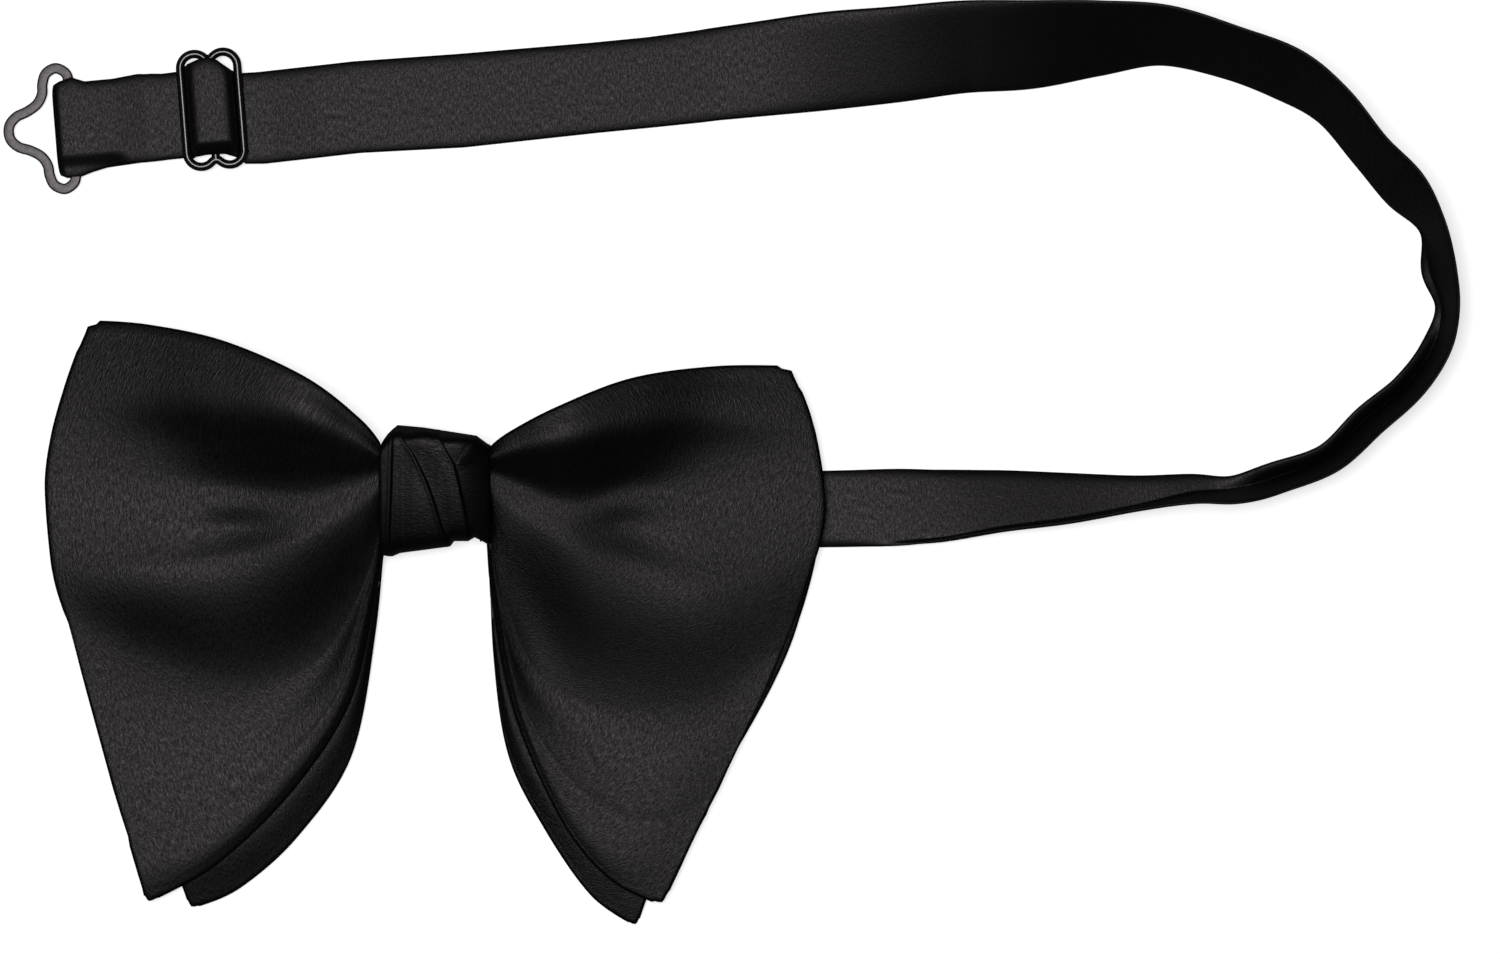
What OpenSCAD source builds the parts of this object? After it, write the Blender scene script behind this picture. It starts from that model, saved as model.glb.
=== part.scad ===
// Pre-tied butterfly bow tie with an adjustable neck band, lying face up with its band spread out.
// Millimetres. The origin is the centre of the knot's flat back, and +Z points out of the bow's front.
// The bow is two stitched butterflies, one behind the other, pinched by a thread and hidden by a knot.
// The band runs from a hook on a short tab, through the knot, round in a loop to a slider and an eye.

/* [Cloth] */
// Thickness of one layer of satin
satin_t = 0.5; // [0.4:0.05:0.6]
// Thickness of the interlining between two layers of satin
interlining_t = 0.6; // [0.4:0.05:0.7]

/* [Bow] */
// Height of the front butterfly's middle surface where it enters the knot
front_z = 9; // [8.5:0.1:9.5]
// Height of the rear butterfly's middle surface where it enters the knot
rear_z = 5.5; // [5.3:0.1:5.8]
// Height of the folds that stand up on the front butterfly
fold_h = 7; // [4:0.5:8]
// Half the height of the pinched waist inside the knot
waist_half = 8; // [7:0.25:8.25]

/* [Knot] */
// Width of the knot, from one wing to the other
knot_w = 22; // [20:0.5:24]
// Depth of the knot, from its flat back to its front
knot_d = 20; // [19.5:0.5:22]
// Height of the knot at its left end
knot_h_left = 27; // [25:0.5:29]
// Height of the knot at its right end
knot_h_right = 21; // [21:0.5:24]
// Thickness of the folded satin that is wrapped round the knot
wrap_t = 1.6; // [1.2:0.1:1.6]

/* [Neck band] */
// Width of the neck band
band_w = 19; // [18.5:0.25:19]
// Thickness of the neck band, both satin layers and the interlining
band_t = 1.1; // [1:0.05:1.1]
// Thickness of the band's satin sleeve on each side of its interlining
sleeve_t = 0.3; // [0.25:0.05:0.35]

/* [Slider] */
// Radius of the slider's wire
wire_r = 0.9; // [0.8:0.05:0.9]
// Width of the slider along the band, between the centres of its long wires
slider_w = 12; // [12:0.25:12.5]
// Height of the slider across the band, outside its wires
slider_h = 25.5; // [25:0.25:27]

/* [Eye and hook] */
// Width of the flat strip that the eye and the hook are pressed from
strip_w = 2.2; // [1.8:0.1:2.3]
// Thickness of that strip
strip_t = 1; // [0.8:0.05:1]
// Radius of the round bar that a fold of the band turns on
bar_r = 0.55; // [0.53:0.01:0.58]

/* [Hidden] */

satin = [0.09, 0.085, 0.09];
lining = [0.85, 0.84, 0.8];
thread = [0.05, 0.05, 0.05];
black_wire = [0.12, 0.12, 0.13];
gunmetal = [0.42, 0.4, 0.42];
tiny = 0.01;

// Outlines of the four wings, each [top edge, outer edge, lower edge], from the knot outwards
// along the top and lower edges, and from the top down along the outer edge.
left_front = [
    [[-11, waist_half], [-16, 14.5], [-27, 23], [-44, 30.5], [-60, 34], [-72.5, 35]],
    [[-72.5, 35], [-78, 21], [-81.5, 2], [-80, -15], [-73.5, -42], [-65, -69], [-60.5, -86]],
    [[-11, -waist_half], [-15, -29], [-22, -49], [-37.5, -68], [-52, -82], [-60.5, -86]]];
right_front = [
    [[11, waist_half], [15, 11], [28, 18], [44, 23.5], [60, 25.5], [74, 25.5]],
    [[74, 25.5], [78.5, 13], [81, -3], [76, -23.5], [66.5, -46], [55, -69], [47, -86.5]],
    [[11, -waist_half], [13, -30], [18.5, -55], [27, -71], [38, -83], [47, -86.5]]];
left_rear = [
    [[-11, waist_half], [-16, 13.5], [-27, 21.5], [-44, 29], [-60, 32.5], [-71, 33.5]],
    [[-71, 33.5], [-76.5, 20], [-80, 2], [-78.5, -16], [-70.5, -44], [-60, -71], [-51.5, -87.5]],
    [[-11, -waist_half], [-14, -32], [-20, -56], [-33, -74.5], [-44, -84], [-51.5, -87.5]]];
right_rear = [
    [[11, waist_half], [15, 10], [28, 16.5], [44, 22], [60, 24], [73, 24]],
    [[73, 24], [77.5, 12], [80, -4], [76.8, -23], [65, -48], [53, -72], [41.5, -91]],
    [[11, -waist_half], [12, -36], [17.5, -60], [25, -73], [34, -86], [41.5, -91]]];

// Route of the neck band from the tab to the straight upper run, lying on a table. Each point is
// [x, y, extra height, tilt about the route in degrees, width it is gathered to].
band_route = [
    [-37, 0, 2.3, 0, 15], [-24, 0, 1.7, 0, 14.5], [-11, 0, 1.65, 0, 14], [0, 0, 1.65, 0, 14],
    [12, -0.5, 1.5, 0, 14], [26, -1.5, 0.1, 0, 14.5], [42, -2.5, 0, 0, 15], [58, -3.5, 0, 0, 15.5],
    [74, -4, 0, 0, 16], [90, -4, 0, -4, 16], [104, -3.3, 0, -26, 16.5], [118, -2.3, 0, -42, 17.5],
    [132, -1.7, 0, -54, 18.5], [146, -0.5, 0, -66, 19], [158, 0.2, 0, -76, 19],
    [167, 0.3, 0, -87, 19], [176, 2.2, 0, -101, 19], [186, 6.5, 0, -106, 19],
    [195, 14, 0, -106, 19], [203, 21.5, 0, -103, 19], [209, 29.5, 0, -98, 19],
    [211.5, 38, 0, -91, 19], [210, 46, 0, -75, 19], [208, 55, 0, -73, 19],
    [202.5, 63, 0, -67, 19], [195, 71, 0, -69, 19], [187, 80, 0, -67, 19], [178, 87, 0, -62, 19],
    [166, 91.5, 0, -57, 19], [152, 94.5, 0, -52, 19], [138, 94.5, 0, -37, 19],
    [124, 93.4, 0, -21, 19], [110, 92.4, 0, -4, 19], [96, 90.8, 0, 0, 19], [82, 88.9, 0, 0, 19],
    [69, 87.5, 0, 0, 19], [57.7, 86.5, 0, 0, 19]];
band_steps = 72;

// The straight upper run has its own frame: s runs along the band from the slider towards the
// loop, t across the band and z up.
run_origin = [-47, 78.1, 0];
run_angle = 4.6;
run_start = 105;

// Heights of the middles of the band's layers above the table
low_z = 0.6;
under_wire_z = 1.75;
fold_z = 2.95;
bar_z = (low_z + fold_z) / 2;
slider_z = 3.3;
loop_r = wire_r + 0.05 + band_t / 2;
loop_w = 17;
fold_r = (fold_z - low_z) / 2;
hump_half = 7.5;
hump_w = band_w - 0.6;
hump_t = 1.2;
seam = 0.1;
end_s = -4.2;

// Places along the upper run
eye_fold_s = -31.65;
eye_bar_s = -29.9;
eye_fold_end_s = -25;
eye_t = 0.3;
slider_t = 1.7;
tab_fold_x = -40.5;
tab_w = 15;

wing_cols = 11;
wing_rows = 13;

// ---- shared functions ----

function mix(a, b, t) = a + (b - a) * t;
function bump(t, centre, width) = exp(-pow((t - centre) / width, 2));
function flip(list) = [for (i = [len(list) - 1:-1:0]) list[i]];
function arc(centre, r, from, to, steps) =
    [for (i = [0:steps]) centre + r * [cos(mix(from, to, i / steps)), sin(mix(from, to, i / steps))]];

// Point at fraction t along the smooth curve that passes through every point of p
function curve_at(p, t) = let (n = len(p) - 1, s = min(t * n, n - 0.0001), i = floor(s), f = s - i,
    a = p[max(i - 1, 0)], b = p[i], c = p[i + 1], d = p[min(i + 2, n)])
    0.5 * (2 * b + (c - a) * f + (2 * a - 5 * b + 4 * c - d) * f * f
        + (3 * b - a - 3 * c + d) * f * f * f);

// ---- wings ----

// Place on a wing's outline patch: u runs from the knot to the outer edge, v from the top down
function wing_xy(w, u, v) = let (top = w[0], outer = w[1], low = w[2], far = len(top) - 1)
    (1 - v) * curve_at(top, u) + v * curve_at(low, u)
    + (1 - u) * mix(top[0], low[0], v) + u * curve_at(outer, v)
    - (1 - u) * mix(top[0], low[0], v) - u * mix(top[far], low[far], v);

// Height of the front butterfly: two folds fan out from the knot and die away at the outer edge
function front_height(u, v) = front_z - 4.4 * pow(u, 4)
    + fold_h * (0.55 + 1.6 * u - 2.1 * u * u) * (0.75 * bump(v, 0.1, 0.1) + bump(v, 0.45, 0.17)
        - 0.15 * bump(v, 0.78, 0.14));

// Height of the rear butterfly: one low arch, with the tips nearly down on the table
function rear_height(u, v) = rear_z - 3.1 * pow(u, 4) - 1.1 * u * pow(v, 6)
    + 8 * u * (1 - u) * bump(v, 0.45, 0.3);

columns = concat([for (i = [wing_cols:-1:0]) [0, i / wing_cols]],
    [for (i = [0:wing_cols]) [1, i / wing_cols]]);

function sheet_points(wings, front, lift) = [for (c = columns) for (j = [0:wing_rows])
    let (v = j / wing_rows, p = wing_xy(wings[c[0]], c[1], v),
        z = front ? front_height(c[1], v) : rear_height(c[1], v)) [p[0], p[1], z + lift]];

// A layer of cloth over both wings, between two heights above the butterfly's middle surface
module wing_sheet(wings, front, low, high) {
    rows = wing_rows + 1;
    cols = len(columns);
    count = rows * cols;
    rim = concat([for (i = [0:cols - 2]) i * rows], [for (j = [0:rows - 2]) (cols - 1) * rows + j],
        [for (i = [cols - 1:-1:1]) i * rows + rows - 1], [for (j = [rows - 1:-1:1]) j]);
    top = [for (i = [0:cols - 2]) for (j = [0:rows - 2]) let (a = i * rows + j, b = a + rows)
        each [[a, b, b + 1], [a, b + 1, a + 1]]];
    walls = [for (k = [0:len(rim) - 1]) let (p = rim[k], q = rim[(k + 1) % len(rim)])
        each [[q, p, p + count], [q, p + count, q + count]]];
    polyhedron(concat(sheet_points(wings, front, high), sheet_points(wings, front, low)),
        concat(top, [for (f = top) [f[0] + count, f[2] + count, f[1] + count]], walls));
}

half_t = interlining_t / 2;
module front_bow_face() color(satin)
    wing_sheet([left_front, right_front], true, half_t, half_t + satin_t);
module front_bow_interlining() color(lining)
    wing_sheet([left_front, right_front], true, -half_t, half_t);
module front_bow_backing() color(satin)
    wing_sheet([left_front, right_front], true, -half_t - satin_t, -half_t);
module rear_bow_face() color(satin)
    wing_sheet([left_rear, right_rear], false, half_t, half_t + satin_t);
module rear_bow_interlining() color(lining)
    wing_sheet([left_rear, right_rear], false, -half_t, half_t);
module rear_bow_backing() color(satin)
    wing_sheet([left_rear, right_rear], false, -half_t - satin_t, -half_t);

// ---- knot ----

// Knot section in Y and Z at one end: square at the back, rounded at the front
function knot_section(low_y, high_y, inset) = let (r = 5 - inset, y0 = low_y + inset,
    y1 = high_y - inset, z1 = knot_d - inset)
    concat([[y0, inset], [y1, inset]], arc([y1 - r, z1 - r], r, 0, 90, 6),
        arc([y0 + r, z1 - r], r, 90, 180, 6));

// Solid between the knot's left and right end sections
module knot_block(inset, stretch) {
    hull() {
        translate([-knot_w / 2 - stretch, 0, 0]) rotate([90, 0, 90])
            linear_extrude(tiny) polygon(knot_section(-knot_h_left / 2 - 0.5, knot_h_left / 2 - 0.5, inset));
        translate([knot_w / 2 + stretch - tiny, 0, 0]) rotate([90, 0, 90])
            linear_extrude(tiny) polygon(knot_section(-knot_h_right / 2, knot_h_right / 2, inset));
    }
}

seam_w = 12;
module knot_wrap() color(satin) difference() {
    knot_block(0, 0);
    knot_block(wrap_t, 1);
    translate([-seam_w / 2, -1, -1]) cube([seam_w, 2, 1.5]);
}

// Raised satin folds that cross the knot's front from corner to corner
module pleat(top, foot, width) hull() {
    translate([top[0], top[1], knot_d]) cylinder(r = width / 2, h = 0.9, $fn = 24);
    translate([foot[0], foot[1], knot_d]) cylinder(r = width / 2, h = 0.9, $fn = 24);
}
module knot_pleats() color(satin) {
    pleat([-9, 6.5], [-9, -7.5], 2.6);
    pleat([-5.2, 6.8], [0.6, -4.4], 3);
    pleat([2.2, 5.4], [5.4, -4.2], 3);
}

module knot_padding() color(lining)
    translate([-9, -6, front_z + fold_h + 0.1]) cube([18, 12, 2]);

stitch_r = 0.25;
module knot_stitches() color(thread) for (x = [-4.5:1.5:4.5])
    translate([x, 0, 0.3]) rotate([90, 0, 0]) cylinder(r = 0.2, h = 1.6, center = true, $fn = 16);

// Turns of thread that hold both butterflies gathered at the waist
module gathering_thread() color(thread) for (x = [-2.4:1.2:2.4])
    translate([x, 0, 0]) rotate([90, 0, 90]) linear_extrude(0.8, center = true) difference() {
        translate([-9.1, 4]) square([18.2, front_z + fold_h * 0.75 - 4 + 1.6]);
        translate([-8.6, 4.5]) square([17.2, front_z + fold_h * 0.75 - 5 + 1.6]);
    }

band_top_z = low_z + 1.7 + band_t / 2;
tack_x = 4.5;
module band_tack() color(thread) for (y = [-4, 0, 4])
    translate([tack_x, y, band_top_z]) cylinder(r = 0.6, h = rear_z - half_t - satin_t - band_top_z, $fn = 24);

// ---- neck band ----

// Centre and two cross directions of the band at fraction f of its route
function band_at(f) = let (p = curve_at(band_route, f), q = curve_at(band_route, min(f + 0.002, 1)),
    o = curve_at(band_route, max(f - 0.002, 0)), d = [q[0] - o[0], q[1] - o[1]], t = d / norm(d),
    side = [-t[1], t[0], 0], w = cos(p[3]) * side + [0, 0, sin(p[3])],
    m = cross([t[0], t[1], 0], w))
    [[p[0], p[1], low_z + p[2] + abs(sin(p[3])) * p[4] / 2], w, m, p[4]];

// Flattened ring round the band, inset from its outside
function band_ring(f, inset) = let (b = band_at(f), a = b[3] / 2 - inset, h = band_t / 2 - inset)
    [for (k = [[a, h / 2], [a - h, h], [h - a, h], [-a, h / 2],
        [-a, -h / 2], [h - a, -h], [a - h, -h], [a, -h / 2]]) b[0] + k[0] * b[1] + k[1] * b[2]];

function ring_walls(rings, n, base) = [for (i = [0:rings - 2]) for (k = [0:n - 1])
    let (a = base + i * n + k, b = base + i * n + (k + 1) % n)
        each [[a, b, b + n], [a, b + n, a + n]]];
function turned(faces) = [for (f = faces) [f[0], f[2], f[1]]];
function band_points(inset) =
    [for (i = [0:band_steps]) each band_ring(i / band_steps, inset)];

module neck_band() color(satin) {
    n = 8;
    rings = band_steps + 1;
    inner = rings * n;
    last = (rings - 1) * n;
    near = [for (k = [0:n - 1]) let (a = k, b = (k + 1) % n)
        each [[a, a + inner, b + inner], [a, b + inner, b]]];
    far = [for (k = [0:n - 1]) let (a = last + k, b = last + (k + 1) % n)
        each [[a, b, b + inner], [a, b + inner, a + inner]]];
    polyhedron(concat(band_points(0), band_points(sleeve_t)),
        concat(ring_walls(rings, n, 0), turned(ring_walls(rings, n, inner)), near, far));
}

module neck_band_interlining() color(lining) {
    n = 8;
    rings = band_steps + 1;
    near = [for (k = [1:n - 2]) [0, k + 1, k]];
    far = [for (k = [1:n - 2]) [0, k, k + 1] + [1, 1, 1] * (rings - 1) * n];
    polyhedron(band_points(sleeve_t), concat(ring_walls(rings, n, 0), near, far));
}

// ---- layers of band seen from the side, drawn in s and z and extruded across the band ----

function unit(v) = v / norm(v);
function side_of(p, i) = let (d = unit(p[min(i + 1, len(p) - 1)] - p[max(i - 1, 0)])) [-d[1], d[0]];
function thickened(p, t) = concat([for (i = [0:len(p) - 1]) p[i] + side_of(p, i) * t / 2],
    flip([for (i = [0:len(p) - 1]) p[i] - side_of(p, i) * t / 2]));

module strap(path, width) rotate([90, 0, 0])
    linear_extrude(width, center = true) polygon(thickened(path, band_t));
module on_run() translate(run_origin) rotate(run_angle) children();

module band_upper_run() color(satin) on_run()
    strap([[hump_half, under_wire_z], [12, 1.6], [22, 0.8], [30, low_z], [run_start, low_z]], band_w);

// Up between the slider's long wires and over its bar, drawn a little towards the slider's middle
half_hump = [[0, 6.15], [1.3, 6], [2.7, 5.3], [3.8, 3.9], [4.5, 2.5], [5.4, under_wire_z],
    [hump_half - seam, under_wire_z]];
hump_path = concat(flip([for (p = half_hump) [-p[0], p[1]]]),
    [for (i = [1:len(half_hump) - 1]) half_hump[i]]);
module band_hump() color(satin) on_run() translate([0, hump_t, 0]) strap(hump_path, hump_w);

module band_left_run() color(satin) on_run()
    strap([[eye_fold_end_s, fold_z], [-20, 2.6], [-14, 1.9], [-10, under_wire_z],
        [-hump_half, under_wire_z]], band_w);

module band_return_run() color(satin) on_run()
    strap([[eye_fold_end_s, low_z], [-6, low_z], [end_s - seam, low_z]], band_w - 0.5);

// The band's end goes round the slider's bar and is sewn down on itself
module band_end_loop() color(satin) on_run()
    translate([0, hump_t, 0])
        strap(concat([[end_s, low_z], [-3.6, low_z], [-2.6, 0.95], [-1.2, 1.55]],
            arc([0, slider_z], loop_r, -90, 130, 14), [[-1.7, 3.65], [-2.2, 3], [-2.7, 2.55]]),
            loop_w);
module band_end_stitches() color(thread) on_run() for (t = [-6:2:8])
    translate([-2.44, t, 1.9]) rotate([90, 0, 0]) cylinder(r = stitch_r, h = 1.4, center = true, $fn = 16);

function fold_path(s, open_s) = concat([[open_s, low_z]],
    arc([s, bar_z], fold_r, 270, 90, 14), [[open_s, fold_z]]);
module band_eye_fold() color(satin) on_run() strap(fold_path(eye_fold_s, eye_fold_end_s), band_w);
module tab_fold() color(satin) strap(fold_path(tab_fold_x, -37), tab_w);

// Cross stitches through both layers of the tab, beside its fold
module tab_stitches() color(thread) for (y = [-6:1.5:6])
    translate([-38.2, y, fold_z + band_t / 2 + stitch_r]) rotate([0, 90, 0])
        cylinder(r = stitch_r, h = 1.6, center = true, $fn = 16);

// ---- slider: a wire bent into a waisted oblong, with a bar across its waist ----

lobe_r = slider_w / 4;
waist_r = 1.2;
lobe_y = slider_h / 2 - wire_r - lobe_r;
waist_dy = sqrt(pow(lobe_r + waist_r, 2) - lobe_r * lobe_r);
waist_turn = atan2(waist_dy, lobe_r);
half_oblong = concat(arc([lobe_r, lobe_y], lobe_r, 0, 180 - waist_turn, 10),
    arc([0, lobe_y + waist_dy], waist_r, -waist_turn, waist_turn - 180, 6),
    arc([-lobe_r, lobe_y], lobe_r, waist_turn, 180, 10));
oblong = concat(half_oblong, [for (p = half_oblong) -p]);

// Round wire bent along a closed flat path
module bent_wire(path, r, sides) {
    n = len(path);
    ring = function (i) let (p = path[i], d = unit(path[(i + 1) % n] - path[(i + n - 1) % n]))
        [for (k = [0:sides - 1]) let (a = 360 * k / sides)
            [p[0] + d[1] * r * cos(a), p[1] - d[0] * r * cos(a), r * sin(a)]];
    polyhedron([for (i = [0:n - 1]) each ring(i)],
        [for (i = [0:n - 1]) for (k = [0:sides - 1]) let (j = (i + 1) % n, l = (k + 1) % sides)
            each [[i * sides + k, i * sides + l, j * sides + l],
                [i * sides + k, j * sides + l, j * sides + k]]]);
}

module slider_wire() color(black_wire) on_run() translate([0, slider_t, slider_z])
    bent_wire(oblong, wire_r, 10);
bar_half = lobe_y + waist_dy - waist_r;
module slider_bar() color(black_wire) on_run()
    translate([0, slider_t, slider_z]) rotate([90, 0, 0])
        cylinder(r = wire_r, h = 2 * bar_half - wire_r, center = true, $fn = 48);

// ---- eye: a pressed strip, with a nose for the hook, two lobes and a bar for the band ----

lobe_s = 2.9;
eye_lobe = [eye_bar_s - lobe_s, 9.9];
nose_r = 3.8;
nose_s = eye_bar_s - 9.3;

// Middle line of the upper half of the eye's strip, from the bar round the lobe to the nose
shoulder_r = 3.2;
eye_half = concat(arc(eye_lobe, lobe_s, 0, 180, 16),
    arc([eye_lobe[0] - lobe_s - shoulder_r, 7.2], shoulder_r, 0, -75, 8),
    arc([nose_s, 0], nose_r, 98, 180, 10));
eye_outline = concat(eye_half, [for (i = [len(eye_half) - 2:-1:0]) [eye_half[i][0], -eye_half[i][1]]]);

module eye_clip() color(gunmetal) on_run() translate([0, eye_t, bar_z]) {
    linear_extrude(strip_t, center = true) polygon(thickened(eye_outline, strip_w));
    translate([eye_bar_s, 0, 0]) rotate([90, 0, 0])
        cylinder(r = bar_r, h = 21.6, center = true, $fn = 48);
}

// ---- hook: a pressed frame on the tab, with a tongue bent back into a hook ----

hook_bar_x = tab_fold_x;
hook_half = 10.2;
tongue_w = 5;
tongue_l = 8;
tongue_t = 0.8;
curl_r = 1.1;
module hook_clip() color(gunmetal) translate([hook_bar_x, 0, bar_z]) {
    rotate([90, 0, 0]) cylinder(r = bar_r, h = 2 * hook_half - 2, center = true, $fn = 48);
    for (side = [-1, 1]) translate([-5.8, side * (hook_half - 1) - 1, -strip_t / 2])
        cube([6.3, 2, strip_t]);
    translate([-5.8, -hook_half + 1, -strip_t / 2]) cube([strip_w, 2 * hook_half - 2, strip_t]);
    translate([-5.8 - tongue_l, -tongue_w / 2, -tongue_t / 2]) cube([tongue_l + 1, tongue_w, tongue_t]);
    translate([-5.8 - tongue_l, 0, curl_r]) rotate([90, 0, 0]) rotate([0, 0, 90])
        rotate_extrude(angle = 180, $fn = 48)
            translate([curl_r - tongue_t / 2, -tongue_w / 2]) square([tongue_t, tongue_w]);
    translate([-5.8 - tongue_l, -tongue_w / 2, 2 * curl_r - tongue_t / 2])
        cube([4, tongue_w, tongue_t]);
}

front_bow_face();
front_bow_interlining();
front_bow_backing();
rear_bow_face();
rear_bow_interlining();
rear_bow_backing();
gathering_thread();
knot_padding();
knot_wrap();
knot_pleats();
knot_stitches();
band_tack();
neck_band();
neck_band_interlining();
tab_fold();
tab_stitches();
hook_clip();
band_upper_run();
band_hump();
slider_wire();
slider_bar();
band_end_loop();
band_end_stitches();
band_left_run();
band_return_run();
band_eye_fold();
eye_clip();
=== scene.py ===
import math

import bmesh
import bpy
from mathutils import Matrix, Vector


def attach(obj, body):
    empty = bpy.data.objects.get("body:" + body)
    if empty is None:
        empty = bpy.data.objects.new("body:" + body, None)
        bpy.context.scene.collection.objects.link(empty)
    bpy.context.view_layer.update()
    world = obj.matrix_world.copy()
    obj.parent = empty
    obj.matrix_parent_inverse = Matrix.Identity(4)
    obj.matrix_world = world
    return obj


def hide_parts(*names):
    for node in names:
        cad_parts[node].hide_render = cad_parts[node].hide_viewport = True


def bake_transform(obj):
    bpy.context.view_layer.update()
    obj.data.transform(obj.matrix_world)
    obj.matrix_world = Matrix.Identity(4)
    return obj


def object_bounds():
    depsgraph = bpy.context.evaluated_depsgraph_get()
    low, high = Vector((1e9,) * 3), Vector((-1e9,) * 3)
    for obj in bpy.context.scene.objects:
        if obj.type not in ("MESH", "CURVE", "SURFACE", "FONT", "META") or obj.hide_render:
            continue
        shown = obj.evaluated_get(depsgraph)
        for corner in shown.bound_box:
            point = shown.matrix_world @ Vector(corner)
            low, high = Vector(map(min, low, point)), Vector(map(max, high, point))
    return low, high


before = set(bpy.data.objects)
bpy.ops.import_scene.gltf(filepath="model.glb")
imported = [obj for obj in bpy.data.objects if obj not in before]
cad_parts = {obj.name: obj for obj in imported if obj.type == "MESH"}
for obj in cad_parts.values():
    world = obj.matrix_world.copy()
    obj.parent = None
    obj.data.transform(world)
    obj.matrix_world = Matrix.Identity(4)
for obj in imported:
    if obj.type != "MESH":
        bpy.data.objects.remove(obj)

cad_box = [list(corner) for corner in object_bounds()]
mm = 0.001

# ---- the studio: camera, lights and table ----
# The tie lies on a white table and is seen from straight above with a long lens. One soft light
# hangs almost overhead, a little to the upper left of the knot, so flat satin is bright and every
# slope goes dark. The table glows, so the ground is plain white.
scene = bpy.context.scene
scene.view_settings.view_transform = "Standard"
view_width = 0.315
camera_height = 1.6
sensor_width = 36.0
low, high = (Vector(corner) for corner in cad_box)
view_centre = (low + high) / 2 + Vector((4.7, -3.5, 0)) * mm
camera = bpy.data.objects.new("camera", bpy.data.cameras.new("camera"))
camera.data.sensor_width = sensor_width
camera.data.lens = sensor_width * camera_height / view_width
camera.data.clip_end = 10
camera.location = (view_centre.x, view_centre.y, camera_height)
scene.collection.objects.link(camera)
scene.camera = camera

light_aim = Vector((0.03, 0, 0))
light_place = Vector((-0.1, 0.08, 1.7))
lamp = bpy.data.lights.new("overhead softbox", "AREA")
lamp.shape = "RECTANGLE"
lamp.size, lamp.size_y = 0.65, 0.55
lamp.energy = 15
softbox = bpy.data.objects.new("overhead softbox", lamp)
softbox.location = light_place
softbox.rotation_euler = (light_aim - light_place).to_track_quat("-Z", "Y").to_euler()
softbox.visible_camera = False
scene.collection.objects.link(softbox)

world = bpy.data.worlds.new("studio")
world.use_nodes = True
daylight = world.node_tree.nodes["Background"]
daylight.inputs["Color"].default_value = (0.9, 0.93, 1.0, 1)
daylight.inputs["Strength"].default_value = 0.045
scene.world = world

bm = bmesh.new()
bmesh.ops.create_grid(bm, x_segments=1, y_segments=1, size=1.6)
table_mesh = bpy.data.meshes.new("table_top")
bm.to_mesh(table_mesh)
bm.free()
table = bpy.data.objects.new("table_top", table_mesh)
table.location.z = low.z - 0.2 * mm
table.visible_glossy = False
scene.collection.objects.link(table)
paint = bpy.data.materials.new("white table")
paint.use_nodes = True
table_paint = paint.node_tree.nodes["Principled BSDF"]
table_paint.inputs["Base Color"].default_value = (0.93, 0.93, 0.93, 1)
table_paint.inputs["Roughness"].default_value = 0.9
table_paint.inputs["Emission Color"].default_value = (1, 1, 1, 1)
table_paint.inputs["Emission Strength"].default_value = 0.62
table_mesh.materials.append(paint)


# ---- front butterfly ----
# The front bow is one length of black satin with an interlining, sewn to a backing just behind
# its edge, turned, pressed and pinched in at the middle. Two folds fan out of the knot on each
# wing, with a small puckered ridge between them.
def satin(name, shine=0.18, roughness=0.41, streak=(0.5, 1.6), relief=0.8, painted_light_gain=1.0):
    """Black satin. Long floats of yarn, streak mm wide and long, catch the light unevenly. Its last
    argument paints its colour lighter, as painted light, not as a different cloth.
    """
    cloth = bpy.data.materials.new(name)
    cloth.use_nodes = True
    nodes, links = cloth.node_tree.nodes, cloth.node_tree.links
    shader = nodes["Principled BSDF"]
    uv = nodes.new("ShaderNodeUVMap")
    uv.uv_map = "cloth"
    floats = []
    for size in (1.0, 0.45):
        stretch = nodes.new("ShaderNodeMapping")
        stretch.inputs["Scale"].default_value = [1 / (mm * w * size) for w in (*streak, 1.0)]
        stretch.inputs["Rotation"].default_value = (0, 0, 0.06)
        links.new(uv.outputs["UV"], stretch.inputs["Vector"])
        grain = nodes.new("ShaderNodeTexNoise")
        grain.inputs["Scale"].default_value = 1
        grain.inputs["Detail"].default_value = 2
        links.new(stretch.outputs["Vector"], grain.inputs["Vector"])
        floats.append(grain)
    weave = nodes.new("ShaderNodeMath")
    weave.operation = "ADD"
    links.new(floats[0].outputs["Fac"], weave.inputs[0])
    links.new(floats[1].outputs["Fac"], weave.inputs[1])
    ground = nodes.new("ShaderNodeMapRange")
    ground.inputs["From Min"].default_value = 0.75
    ground.inputs["From Max"].default_value = 1.25
    links.new(weave.outputs["Value"], ground.inputs["Value"])
    colour = nodes.new("ShaderNodeMix")
    colour.data_type = "RGBA"
    # Both colours are scaled by the last argument: above 1 that is painted light, a lighter copy of
    # the same satin.
    colour.inputs["A"].default_value = [0.0004 * painted_light_gain] * 3 + [1]
    colour.inputs["B"].default_value = [c * painted_light_gain for c in (0.0022, 0.0018, 0.0019)] + [1]
    links.new(ground.outputs["Result"], colour.inputs["Factor"])
    links.new(colour.outputs["Result"], shader.inputs["Base Color"])
    gloss = nodes.new("ShaderNodeMapRange")
    gloss.inputs["To Min"].default_value = roughness + 0.13
    gloss.inputs["To Max"].default_value = roughness - 0.13
    links.new(ground.outputs["Result"], gloss.inputs["Value"])
    links.new(gloss.outputs["Result"], shader.inputs["Roughness"])
    bump = nodes.new("ShaderNodeBump")
    bump.inputs["Strength"].default_value = relief
    bump.inputs["Distance"].default_value = 0.08 * mm
    links.new(weave.outputs["Value"], bump.inputs["Height"])
    links.new(bump.outputs["Normal"], shader.inputs["Normal"])
    shader.inputs["Specular IOR Level"].default_value = shine
    shader.inputs["Specular Tint"].default_value = (1.0, 0.93, 0.95, 1)
    return cloth


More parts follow.
